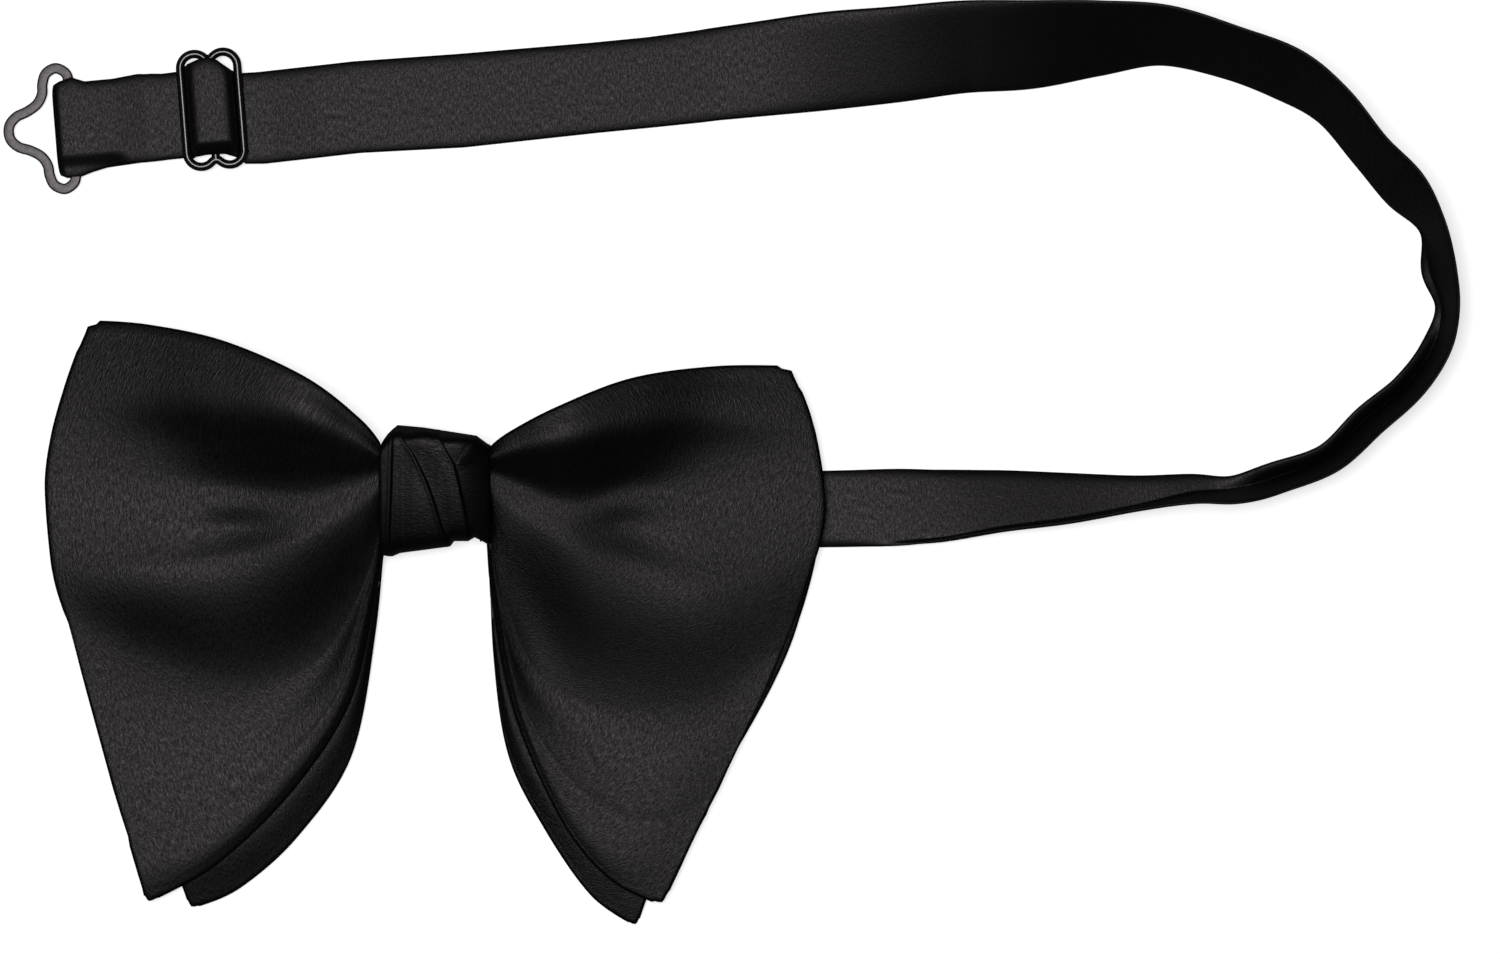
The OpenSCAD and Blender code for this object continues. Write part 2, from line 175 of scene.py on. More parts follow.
bow_satin = satin("bow satin")
backing_satin = satin("backing satin", roughness=0.46)


def grained(name, tones, scale, depth, finish, strength=1.0, detail=3, texture="Noise"):
    """A material in two tones with a fine relief, depth mm deep, both from one grain."""
    made = bpy.data.materials.new(name)
    made.use_nodes = True
    nodes, links = made.node_tree.nodes, made.node_tree.links
    shader = nodes["Principled BSDF"]
    place = nodes.new("ShaderNodeTexCoord")
    grain = nodes.new(f"ShaderNodeTex{texture}")
    grain.inputs["Scale"].default_value = scale
    grain.inputs["Detail"].default_value = detail
    if texture == "Wave":
        grain.bands_direction = "DIAGONAL"
    links.new(place.outputs["Object"], grain.inputs["Vector"])
    tone = nodes.new("ShaderNodeMix")
    tone.data_type = "RGBA"
    for socket, colour in zip("AB", tones):
        tone.inputs[socket].default_value = (*colour, 1)
    links.new(grain.outputs["Fac"], tone.inputs["Factor"])
    links.new(tone.outputs["Result"], shader.inputs["Base Color"])
    bump = nodes.new("ShaderNodeBump")
    bump.inputs["Strength"].default_value = strength
    bump.inputs["Distance"].default_value = depth * mm
    links.new(grain.outputs["Fac"], bump.inputs["Height"])
    links.new(bump.outputs["Normal"], shader.inputs["Normal"])
    for socket, value in finish.items():
        shader.inputs[socket].default_value = value
    return made


def felt(name, colour):
    """Non-woven interlining or wadding: matted fibres, darker between them."""
    return grained(name, [[c * 0.75 for c in colour], colour], scale=1800, depth=0.1, detail=4,
                   finish={"Roughness": 0.95})


interlining_felt = felt("interlining felt", (0.06, 0.058, 0.06))


def along(points, t):
    """Point at fraction t along the smooth curve through all the points."""
    last = len(points) - 1
    s = min(max(t, 0) * last, last - 1e-6)
    i, f = int(s), s - int(s)
    a, b = Vector(points[max(i - 1, 0)]), Vector(points[i])
    c, d = Vector(points[i + 1]), Vector(points[min(i + 2, last)])
    return 0.5 * (2 * b + (c - a) * f + (2 * a - 5 * b + 4 * c - d) * f * f
                  + (3 * b - a - 3 * c + d) * f ** 3)


# Each wing is drawn by lines that run out from the knot to its outer edge, as x, y and height
# in mm, from its top edge down to its lower edge.
front_left_lines = [
    [(-11, 8.5, 12.4), (-16, 14.5, 14), (-27, 23, 15.2),  # top edge
     (-44, 30.5, 11.7), (-60, 34, 8.3), (-72.5, 35, 6.2)],
    [(-11, 7, 12.8), (-18, 11.2, 14.4), (-28, 15.2, 15.7),  # crest of the upper fold
     (-45, 17, 12.5), (-60, 18.5, 9.3), (-77.5, 21, 6.6)],
    [(-11, 5.4, 12.2), (-18, 6.8, 12.9), (-28, 8, 13.1),  # down into the hollow
     (-43, 8.6, 10.5), (-58, 10, 8.2), (-80.4, 10, 6.5)],
    [(-11, 4, 11.7), (-18, 2.6, 11.2), (-28, 0, 10.3),  # foot of the hollow
     (-43, 1, 8.3), (-59, 2, 7.4), (-81.4, 2, 6.4)],
    [(-11, 3, 11.6), (-18, 0.4, 10.9), (-28, -3.2, 10.1),  # small puckered ridge
     (-43, -3.4, 8.3), (-59, -4, 7.4), (-81.2, -4, 6.4)],
    [(-11, 2, 11.7), (-18, -2, 11), (-28, -7, 10.3),  # dip below the ridge
     (-43, -7.6, 7.7), (-59, -10.5, 7.8), (-80.6, -11, 6.4)],
    [(-11, 0.5, 11.6), (-17.5, -5, 11), (-28, -11, 10.4),  # crest of the lower fold
     (-43, -14.8, 8.8), (-59, -18, 8.5), (-79.8, -17.5, 6.3)],
    [(-11, -4, 9.2), (-14.8, -20, 6.8), (-24, -36, 4.2),  # foot of its slope
     (-39, -42.5, 3.9), (-57, -35.5, 4.9), (-76.7, -28.5, 5.6)],
    [(-11, -7, 8.6), (-14.1, -21.5, 6.8), (-20.2, -42.5, 5.3),  # flat lower panel
     (-32.6, -58.5, 5), (-48.5, -70.5, 4.9), (-64.5, -72, 5)],
    [(-11, -7.6, 8.3), (-14, -23.2, 6.5), (-19.6, -44, 5.2),  # just inside the hem
     (-31.4, -61.6, 4.9), (-46.6, -76, 4.8), (-61.3, -83, 4.8)],
    [(-11, -8, 7.9), (-13.5, -24, 6), (-18.9, -44.8, 4.8),  # lower edge
     (-30.6, -62.6, 4.5), (-45.9, -77.6, 4.4), (-60.5, -86, 4.4)]]
front_right_lines = [
    [(11, 8, 12.4), (15.5, 11.5, 14), (26, 17, 15.5),  # top edge
     (41, 22.8, 12.4), (58, 25.3, 8.2), (74, 25.5, 6.2)],
    [(11, 6.6, 12.8), (17, 8.6, 14.3), (28, 10.6, 15.9),  # crest of the upper fold
     (42, 13.3, 13), (57, 15, 9.3), (78.3, 14, 6.6)],
    [(11, 5.2, 12.2), (18, 5, 12.8), (28, 4.9, 13.5),  # down into the hollow
     (41, 6.8, 10.9), (56, 8.5, 8.3), (79.6, 8, 6.5)],
    [(11, 4.2, 11.7), (18, 1.6, 11.3), (28, -2, 10.8),  # foot of the hollow
     (41, 0.6, 8.8), (56, 1, 7.6), (80.6, 1, 6.4)],
    [(11, 3.2, 11.6), (18, -0.5, 11.1), (28, -4.6, 10.7),  # small puckered ridge
     (41, -2.8, 8.9), (56, -4.5, 7.6), (80.9, -4, 6.4)],
    [(11, 2, 11.7), (18, -3, 11.1), (28, -8.4, 10.8),  # dip below the ridge
     (41, -7.2, 8.3), (56, -11.5, 7.9), (80.2, -9.5, 6.4)],
    [(11, 0.5, 11.6), (17, -5.8, 11), (28, -12.5, 10.7),  # crest of the lower fold
     (41, -16.5, 9.5), (57, -22, 8.7), (78, -17, 6.3)],
    [(11, -4, 9.2), (13.3, -21, 6.9), (21, -40, 4.2),  # foot of its slope
     (36, -46, 3.9), (55, -43, 4.8), (73, -31.5, 5.5)],
    [(11, -7, 8.6), (12.7, -22.5, 6.8), (17.8, -44.5, 5.3),  # flat lower panel
     (28.8, -62.5, 5), (43, -70.5, 4.9), (56.8, -66, 5)],
    [(11, -7.6, 8.3), (12.7, -23.4, 6.5), (17.6, -46.4, 5.2),  # just inside the hem
     (27, -67.2, 4.9), (37.4, -79, 4.8), (50, -80, 4.8)],
    [(11, -8, 7.9), (12.2, -24, 6), (16.9, -47.2, 4.8),  # lower edge
     (26.2, -68.6, 4.5), (36.2, -80.9, 4.4), (47, -86.5, 4.4)]]


def draped(marks, t):
    """Point at fraction t down marks of uneven spacing, with no kink where the spacing changes."""
    last = len(marks) - 1
    s = min(t * last, last - 1e-6)
    i, f = int(s), s - int(s)
    span = marks[i + 1] - marks[i]

    def lean(k):
        if k in (0, last):
            return span
        before, after = marks[k] - marks[k - 1], marks[k + 1] - marks[k]
        a, b = before.length, after.length
        return (before * (b / a) + after * (a / b)) * (span.length / (a + b))

    return (marks[i] + f * f * (3 - 2 * f) * span
            + f * (1 - f) * ((1 - f) * lean(i) - f * lean(i + 1)))


def wing_column(lines, u, rows):
    """Places down a wing from its top edge, in metres, at u from the knot outwards."""
    marks = [along(line, u) for line in lines]
    return [draped(marks, j / rows) * mm for j in range(rows + 1)]


def grid_of(bm, columns, rows):
    """A flat grid, and its vertices by column and row."""
    bmesh.ops.create_grid(bm, x_segments=columns, y_segments=rows, size=1)
    return {(round((v.co.x + 1) / 2 * columns), round((v.co.y + 1) / 2 * rows)): v
            for v in bm.verts}


def cloth_uv(bm, at, columns, rows):
    """A UV map in metres, measured along the cloth in both directions."""
    size = {}
    for j in range(rows + 1):
        run = 0.0
        for i in range(columns + 1):
            run += (at[i, j].co - at[i - 1, j].co).length if i else 0
            size[i, j] = [run, 0]
    for i in range(columns + 1):
        drop = 0.0
        for j in range(rows + 1):
            drop += (at[i, j].co - at[i, j - 1].co).length if j else 0
            size[i, j][1] = drop
    uv = bm.loops.layers.uv.new("cloth")
    bm.verts.index_update()
    place = {at[key].index: value for key, value in size.items()}
    for face in bm.faces:
        for loop in face.loops:
            loop[uv].uv = place[loop.vert.index]


def cut_back(column, margin):
    """Moves a column of vertices so that it ends short of the edge at both ends."""
    way = [v.co.copy() for v in column]
    runs = [0.0]
    for a, b in zip(way, way[1:]):
        runs.append(runs[-1] + (b - a).length)
    for n, vert in enumerate(column):
        want = margin + (runs[-1] - 2 * margin) * n / (len(column) - 1)
        k = max(m for m in range(len(way) - 1) if runs[m] <= want)
        vert.co = way[k].lerp(way[k + 1], (want - runs[k]) / (runs[k + 1] - runs[k]))


def bow_cloth(left, right, margin=0.0, drop=0.0, columns=88, waist=8, rows=90, smoothing=8,
              corner_rounding=5):
    """A layer of the bow from wing to wing, cut back from the edge and lying below the face."""
    bm = bmesh.new()
    total = 2 * columns + waist
    at = grid_of(bm, total, rows)
    places = [wing_column(left, 1 - i / columns, rows) for i in range(columns + 1)]
    far = [wing_column(right, i / columns, rows) for i in range(columns + 1)]
    for i in range(1, waist):
        places.append([a.lerp(b, i / waist) for a, b in zip(places[columns], far[0])])
    places += far
    for (i, j), vert in at.items():
        vert.co = places[i][rows - j]
    inside = [v for (i, j), v in at.items() if 0 < i < total and 0 < j < rows]
    for _ in range(smoothing):
        bmesh.ops.smooth_vert(bm, verts=inside, factor=0.5,
                              use_axis_x=True, use_axis_y=True, use_axis_z=True)
    for _ in range(corner_rounding):
        corners = [v for (i, j), v in at.items()
                   if min(i, total - i) < 4 and min(j, rows - j) < 4]
        bmesh.ops.smooth_vert(bm, verts=corners, factor=0.5,
                              use_axis_x=True, use_axis_y=True, use_axis_z=False)
    bm.normal_update()
    for vert, normal in [(v, v.normal.copy()) for v in bm.verts]:
        vert.co -= normal * drop
    if margin:
        for i in range(total + 1):
            cut_back([at[i, j] for j in range(rows + 1)], margin)
        for j in range(rows + 1):
            cut_back([at[i, j] for i in range(total + 1)], margin)
    cloth_uv(bm, at, total, rows)
    return bm


def roll_edge(bm, radius, turn_in):
    """Carries the cloth round its pressed edge and a little way in behind."""
    uv = bm.loops.layers.uv["cloth"]
    rim = [e for e in bm.edges if e.is_boundary]
    cloth_at = {loop.vert: loop[uv].uv.copy() for edge in rim for loop in edge.link_faces[0].loops}
    face_side = set(bm.faces)
    outward = {}
    for edge in rim:
        middle = (edge.verts[0].co + edge.verts[1].co) / 2
        side = middle - edge.link_faces[0].calc_center_median()
        side.z = 0
        for vert in edge.verts:
            outward[vert] = outward.get(vert, Vector()) + side.normalized()
    centre = {v: (v.co - Vector((0, 0, radius)), d.normalized()) for v, d in outward.items()}
    for angle in (45, 90, 135, 180, None):
        made = bmesh.ops.extrude_edge_only(bm, edges=rim)["geom"]
        rim = [g for g in made if isinstance(g, bmesh.types.BMEdge)]
        follow = {}
        for vert in [g for g in made if isinstance(g, bmesh.types.BMVert)]:
            before = next(e.other_vert(vert) for e in vert.link_edges
                          if e.other_vert(vert) in centre)
            follow[vert] = centre[before]
            cloth_at[vert] = cloth_at[before]
        for vert, (middle, out) in follow.items():
            if angle is None:
                vert.co = middle - Vector((0, 0, radius)) - out * turn_in
            else:
                a = math.radians(angle)
                vert.co = middle + radius * (out * math.sin(a) + Vector((0, 0, math.cos(a))))
        centre = follow
    for face in set(bm.faces) - face_side:
        for loop in face.loops:
            loop[uv].uv = cloth_at[loop.vert]


def finished(name, bm, material, body=None, replaced=(), thickness=0.0):
    """Makes the piece, gives it its finish and hangs it on its body."""
    mesh = bpy.data.meshes.new(name)
    bm.to_mesh(mesh)
    bm.free()
    for polygon in mesh.polygons:
        polygon.use_smooth = True
    mesh.materials.append(material)
    piece = bpy.data.objects.new(name, mesh)
    scene.collection.objects.link(piece)
    if thickness:
        shell = piece.modifiers.new("cloth thickness", "SOLIDIFY")
        shell.thickness = thickness
        shell.offset = -1
    if body:
        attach(piece, body)
    if replaced:
        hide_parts(*replaced)
    return piece


def butterfly(name, left, right):
    """Face, interlining and backing of one butterfly."""
    face = bow_cloth(left, right)
    roll_edge(face, radius=0.6 * mm, turn_in=2.2 * mm)
    face = finished(f"{name}_satin", face, bow_satin, "bow", [f"{name}_face"],
                    thickness=0.3 * mm)
    lining = bow_cloth(left, right, margin=2.4 * mm, drop=0.34 * mm)
    lining = finished(f"{name}_stiffening", lining, interlining_felt, "bow",
                      [f"{name}_interlining"], thickness=0.5 * mm)
    backing = bow_cloth(left, right, margin=0.9 * mm, drop=1.08 * mm)
    bmesh.ops.reverse_faces(backing, faces=backing.faces)
    backing = finished(f"{name}_back_satin", backing, backing_satin, "bow",
                       [f"{name}_backing"], thickness=0.2 * mm)


butterfly("front_bow", front_left_lines, front_right_lines)

# ---- rear butterfly ----
# The second bow is cut a little longer and lies behind the first. Only its lower inner edges
# show from the front, and its back shows from behind.
rear_left_lines = [
    [(-11, 8, 6), (-16, 13.5, 5.4), (-27, 21.5, 5),  # top edge
     (-44, 29, 4.4), (-60, 32.5, 3.5), (-71, 33.5, 2.4)],
    [(-11, 4, 6.5), (-18, 3, 4.6), (-28, 1, 3),  # upper panel
     (-43, -2, 2.6), (-60, -2, 3), (-80, 2, 2.6)],
    [(-11, 0, 6.5), (-17, -8, 5.2), (-27, -18, 3.4),  # middle
     (-42, -26, 2.5), (-58, -28, 3), (-76, -26, 2.6)],
    [(-11, -5, 6), (-14.5, -24, 4), (-21.5, -41, 2.5),  # lower panel
     (-33, -56, 2.4), (-47, -62, 2.4), (-64, -60, 2.6)],
    [(-11, -7.2, 5.8), (-13.6, -26, 4.4), (-19.5, -46, 3.3),  # just inside the hem
     (-31.5, -65, 3.2), (-44, -76, 3.2), (-54, -80, 3)],
    [(-11, -8, 5.4), (-13, -29.5, 3.2), (-18, -55, 2),  # lower edge
     (-29.3, -72, 2), (-41.6, -83, 1.9), (-51.5, -87.3, 1.8)]]
rear_right_lines = [
    [(11, 8, 6), (15, 10, 5.4), (28, 16.5, 5),  # top edge
     (44, 22, 4.4), (60, 24, 3.5), (73, 24, 2.4)],
    [(11, 4, 6.5), (18, 3, 4.6), (28, 1, 3),  # upper panel
     (43, -2, 2.6), (60, -3, 3), (80, -4, 2.8)],
    [(11, 0, 6.5), (16, -9, 5.2), (25, -19, 3.4),  # middle
     (40, -28, 2.5), (57, -30, 3), (75.5, -27, 2.6)],
    [(11, -5, 6), (12.8, -25, 4), (18, -45, 2.5),  # lower panel
     (30, -60, 2.4), (44, -66, 2.4), (58, -62, 2.6)],
    [(11, -7.2, 5.8), (12.3, -27, 4.4), (16.6, -49, 3.3),  # just inside the hem
     (25, -67, 3.2), (34.5, -79, 3.1), (44, -84, 2.9)],
    [(11, -8, 5.4), (11.8, -34, 3.2), (15, -55, 2),  # lower edge
     (22.6, -70.3, 2), (32.2, -84.3, 1.9), (41.5, -91, 1.8)]]
butterfly("rear_bow", rear_left_lines, rear_right_lines)


# ---- knot ----
# A strip of the same satin is folded into a band of overlapping pleats, wrapped round the waist
# over a pad and sewn closed at the back. Its pleats run across the front from corner to corner.
def ring_skin(rings, closed=False):
    """A skin over a row of rings of points, and its cloth UV along and round."""
    count, around = len(rings), len(rings[0])
    steps = count if closed else count - 1
    bm = bmesh.new()
    at = grid_of(bm, steps, around)
    for (i, j), vert in at.items():
        vert.co = rings[i % count][j % around]
    cloth_uv(bm, at, steps, around)
    bmesh.ops.remove_doubles(bm, verts=bm.verts, dist=1e-7)
    rim = [e for e in bm.edges if e.is_boundary]
    if rim:
        bmesh.ops.holes_fill(bm, edges=rim, sides=0)
        for edge in rim:
            edge.smooth = False
    bmesh.ops.recalc_face_normals(bm, faces=bm.faces)
    return bm


# The knot's outline seen from the front, in mm: its top and its bottom, from left to right
knot_top = [(-11.4, 9.6), (-9.9, 11.8), (-8, 13.6), (-2.5, 13.1), (8.4, 11.4), (9.4, 10.6),
            (10.9, 9.6)]
knot_low = [(-11.4, -13.6), (-9.2, -13.9), (-7.6, -13.2), (2.9, -11.8), (3.7, -10.7), (6.7, -10.7),
            (8, -9.9), (9.2, -10.5), (10.9, -11.4)]
# Lines that the pleats' edges follow down the front, from top to bottom, in mm
pleat_edges = [
    [(-8.6, 12), (-9, 0), (-9.5, -11.5)],
    [(-6.5, 11.1), (-4.2, 7.4), (-1.7, 2.1), (-0.2, -2.1), (1.3, -7.4), (2.7, -11.6)],
    [(1.1, 10.9), (4.2, 5.3), (5, 2.1), (6.3, -4.2), (7.1, -9.9)]]
last_pleat = [(5, 2), (4.7, 5.4), (8.4, 10.6), (9, 12)]


def level(points, x):
    """Height of a broken line at x."""
    for (x0, y0), (x1, y1) in zip(points, points[1:]):
        if x <= x1:
            return y0 + (y1 - y0) * max(0, (x - x0)) / (x1 - x0)
    return points[-1][1]


def soft_step(t):
    t = min(max(t, 0), 1)
    return t * t * (3 - 2 * t)


def pleat_height(x, y):
    """Relief of the pleats on the knot's front, in mm: each steps down past its edge."""
    step, last_step, bead = 0.6, 0.55, 0.12
    lift = 0.0
    for line in pleat_edges:
        gap = x - level(sorted((q, p) for p, q in line), y)
        lift += step * soft_step(gap / 6) - step * soft_step((gap + 0.05) / 0.3)
        lift += bead * math.exp(-((gap + 0.4) / 0.35) ** 2)
    gap = x - level(sorted((q, p) for p, q in last_pleat), y)
    inside = soft_step((y - 4.6) / 3) * soft_step((5 - gap) / 4)
    return lift + last_step * soft_step((gap + 0.15) / 0.3) * inside


def front_of_knot(y):
    """Height of the knot's front: fullest near its top, and falling away below."""
    return 18.2 + 0.13 * y - 0.011 * min(y, 0) ** 2


def knot_ring(x, inset, around=240):
    """Section of the knot at x: square at the back, rounded at the front, with its pleats."""
    top, bottom = level(knot_top, x) - inset, level(knot_low, x) + inset
    middle, half = (top + bottom) / 2, (top - bottom) / 2
    back, waist = 0.2 + inset, 9.5
    ring = []
    for k in range(around):
        a = 2 * math.pi * k / around
        c, s = math.cos(a), math.sin(a)
        if s > 0:
            y = middle + half * c
            reach = front_of_knot(y) - 0.045 * max(0, x - 3) ** 2 - inset - waist
            z = waist + reach * math.sqrt(1 - abs(c) ** 14)
        else:
            y = middle + half * math.copysign(abs(c) ** 0.32, c)
            z = waist - (waist - back) * abs(s) ** 0.32
        lift = 0
        if s > 0:
            lift = pleat_height(x, y) * (0.25 + 0.75 * soft_step((z - 11) / 5))
        ring.append((Vector((x, y, z)) + Vector((0, c, s)) * lift) * mm)
    return ring


# How the wrap turns in at each side: x, and how far inside the outline
knot_side = [(-9.6, 3.4), (-10.6, 2.6), (-11.3, 1.6), (-11.55, 0.9), (-11.5, 0.4), (-11.2, 0.1)]
rings = [knot_ring(x, inset) for x, inset in knot_side]
rings += [knot_ring(-11 + 22 * i / 130, 0) for i in range(1, 130)]
rings += [knot_ring(-x, inset) for x, inset in reversed(knot_side)]
knot_satin = satin("knot satin", shine=0.18, roughness=0.43, streak=(1.6, 0.5))
bm = ring_skin(rings)
finished("knot_satin", bm, knot_satin, "bow", ["knot_wrap", "knot_pleats"])


def cloth_ring(places, normals, thickness):
    """A thin closed ring round a section's middle line, rounded at its two edges."""
    ring, last = [], len(places) - 1
    for side, order in ((1, range(last + 1)), (-1, range(last, -1, -1))):
        for k in order:
            edge = abs(2 * k / last - 1) ** 10
            ring.append((places[k] + normals[k] * side * thickness / 2 * (1 - 0.7 * edge)) * mm)
    return ring


pad_half_length, pad_half_width, pad_depth, pad_t, pad_steps = 8.6, 5.8, 2.5, 1.2, 12
pad_rings = []
for i in range(25):
    x = -pad_half_length + 2 * pad_half_length * i / 24
    fill = max(0.15, (1 - abs(x / pad_half_length) ** 4)) ** 0.5
    places = [Vector((x, y, front_of_knot(y) - pad_depth)) for y in
              (fill * pad_half_width * (2 * k / pad_steps - 1) for k in range(pad_steps + 1))]
    pad_rings.append(cloth_ring(places, [Vector((0, 0, 1))] * len(places), pad_t * fill))
pad_felt = felt("pad felt", (0.12, 0.12, 0.12))
pad = finished("knot_pad", ring_skin(pad_rings), pad_felt, "bow", ["knot_padding"])

# ---- neck band ----
# One long strap of satin over an interlining. It comes from the tab, goes through the knot,
# stands up on edge round the bend and lies flat again on its way to the slider.
band_w, band_t, band_low = 19.0, 1.1, 0.6
# The strap's way over the table: x, y and the height under it in mm, the tilt of its outer part
# in degrees, its width in mm, how many degrees its inner part turns back from that tilt, and at
# what share of its width that turn is.
band_route = [
    (-37, 0, 2.3, 0, 15, 0, 0.1), (-24, 0, 1.7, 0, 14.5, 0, 0.1), (-11, 0, 1.65, 0, 14, 0, 0.1),
    (0, 0, 1.65, 0, 14, 0, 0.1), (12, -0.5, 1.5, 0, 14, 0, 0.1), (26, -1.5, 0.1, 0, 14.5, 0, 0.1),
    (42, -2.5, 0, 0, 15, 0, 0.1), (58, -3.5, 0, 0, 15.5, 0, 0.1), (74, -4, 0, 0, 16, 0, 0.1),
    (90, -3.8, 0, -3, 16.2, 0, 0.02), (104, -3.2, 0, -89, 16.6, 83, 0.06),
    (118, -2.1, 0, -89, 17.4, 80, 0.24), (132, -1.5, 0, -89, 18.4, 80, 0.41),
    (146, -0.5, 0, -89, 19, 83, 0.6), (158, 0.4, 0, -84, 19, 78, 0.73),
    (167, 0.2, 0, -81, 19, 92, 0.8), (176, 2.8, 0, -79, 19, 126, 0.74),
    (186.6, 6.8, 0, -79, 19, 136, 0.75), (195, 14.6, 0, -77, 19, 134, 0.74),
    (203, 21.5, 0, -79, 19, 136, 0.75), (208.6, 29.4, 0, -82, 19, 122, 0.8),
    (211.1, 38, 0, -85, 19, 70, 0.86), (209.4, 46, 0, -78, 19, 66, 0.84),
    (208, 55, 0, -80, 19, 40, 0.9), (202.3, 62.9, 0, -65, 19, 0, 0.9),
    (195, 71, 0, -68, 19, 0, 0.9), (187.3, 80.3, 0, -66, 19, 0, 0.9),
    (178, 86.8, 0, -58, 19, 0, 0.9), (166, 91.4, 0, -58, 19, 0, 0.9),
    (152, 95, 0, -52, 19, 0, 0.9), (138, 94.4, 0, -41, 20, 0, 0.9),
    (124, 93.2, 0, -28, 20.4, 0, 0.9), (110, 92.8, 0, -20, 20.2, 0, 0.9),
    (96, 91.3, 0, -13, 20.4, 0, 0.9), (82, 90, 0, -9, 20.7, 0, 0.9),
    (68.9, 88.5, 0, -4, 20, 0, 0.9), (57.6, 87.2, 0, 0, 19.4, 0, 0.9)]
route_flat = [row[:3] for row in band_route]
route_turn = [row[3:6] for row in band_route]
route_fold = [(row[6], 0, 0) for row in band_route]
# The straight upper run has its own directions, s along it and t across it, from the slider
run_origin = Vector((-47, 78.1, 0))
run_angle = math.radians(4.6)
run_along = Vector((math.cos(run_angle), math.sin(run_angle), 0))
run_across = Vector((-math.sin(run_angle), math.cos(run_angle), 0))
run_start, run_end, run_overlap = 105.0, 6.0, 3.0
across_steps = 36


def route_ring(f, trim=0, thickness=band_t):
    """The strap's section at fraction f of its bent route, ending trim steps short of each edge."""
    place = along(route_flat, f)
    step = along(route_flat, min(f + 0.002, 1)) - along(route_flat, max(f - 0.002, 0))
    forward = Vector((step.x, step.y, 0)).normalized()
    side = Vector((-forward.y, forward.x, 0))
    tilt, width, curl = along(route_turn, f)
    fold = along(route_fold, f).x
    line, normals = [Vector((0, 0))], []
    for k in range(across_steps):
        t = (k + 0.5) / across_steps
        a = math.radians(tilt + curl * soft_step((t - fold) / 0.08)
                         - 0.7 * max(curl - 80, 0) * soft_step((t - 0.9) / 0.08))
        way = Vector((math.cos(a), math.sin(a)))
        line.append(line[-1] + way * width / across_steps)
        normals.append(Vector((-way.y, way.x)))
    normals = [(normals[max(k - 1, 0)] + normals[min(k, across_steps - 1)]) / 2
               for k in range(across_steps + 1)]
    middle = (min(q.x for q in line) + max(q.x for q in line)) / 2
    foot = min(q.y for q in line)
    base = Vector((place.x, place.y, band_low + place.z))
    up = Vector((0, 0, 1))
    kept = slice(trim, across_steps + 1 - trim)
    return cloth_ring([base + side * (q.x - middle) + up * (q.y - foot) for q in line[kept]],
                      [side * q.x + up * q.y for q in normals[kept]], thickness)


def run_ring(s, z, edges=(-band_w / 2, band_w / 2), thickness=band_t, turn=0.0, across=1, dip=0.0):
    """The strap's section on the straight upper run, between two edges, at s and height z."""
    thick = math.cos(turn) * Vector((0, 0, 1)) - math.sin(turn) * run_along
    places = []
    for k in range(across_steps + 1):
        share = k / across_steps if across > 0 else 1 - k / across_steps
        t = edges[0] + (edges[1] - edges[0]) * share
        drop = dip * soft_step((-t - 5.2) / 3)
        places.append(run_origin + run_along * s + run_across * t + Vector((0, 0, z - drop)))
    return cloth_ring(places, [thick] * len(places), thickness)


route_steps = 420
split = 0.885  # share of the bent route that the long strap takes, before the upper strap starts
lower_rings = [route_ring(split * i / route_steps) for i in range(route_steps + 1)]
# The strap's satin is the bow's satin with its colour painted 2.5 times lighter: painted light for
# the light its steep, upright faces catch.
band_satin_painted_lighter = satin("band satin painted lighter", roughness=0.42, streak=(0.4, 1.2), relief=0.6, painted_light_gain=2.5)
bm = ring_skin(lower_rings)
lower_band = finished("neck_band_strap", bm, band_satin_painted_lighter, "bow", ["neck_band"])
bm = ring_skin([route_ring(split * i / route_steps, trim=2, thickness=0.4)
                for i in range(route_steps + 1)])
lining = finished("neck_band_stiffening", bm, interlining_felt, "bow",
                  ["neck_band_interlining"])

under_wire = 1.75
upper_rings = [route_ring(split + (1 - split) * i / 60) for i in range(60)]
# Height of the upper run along s, and its lower and upper edge
upper_path = [(run_end, under_wire), (8, under_wire), (12, 1.6), (22, 0.8), (30, band_low),
              (run_start, band_low)]
right_edges = [(run_end, -10.2, 8.9), (10, -10.5, 8.8), (30, -9.8, 9.5), (52, -10.4, 9.3),
               (80, -9.6, 9.4), (92, -9.4, 9.6), (run_start, -9.1, 10.3)]


def edges_at(table, s):
    """Lower and upper edge of the strap at s."""
    return (level([(row[0], row[1]) for row in table], s),
            level([(row[0], row[2]) for row in table], s))


for i in range(111):
    s = run_start - run_overlap - (run_start - run_overlap - run_end) * i / 110
    upper_rings.append(run_ring(s, level(upper_path, s), edges_at(right_edges, s), across=-1))
bm = ring_skin(upper_rings)
upper_band = finished("neck_band_upper_strap", bm, band_satin_painted_lighter, None, ["band_upper_run"])


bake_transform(upper_band)

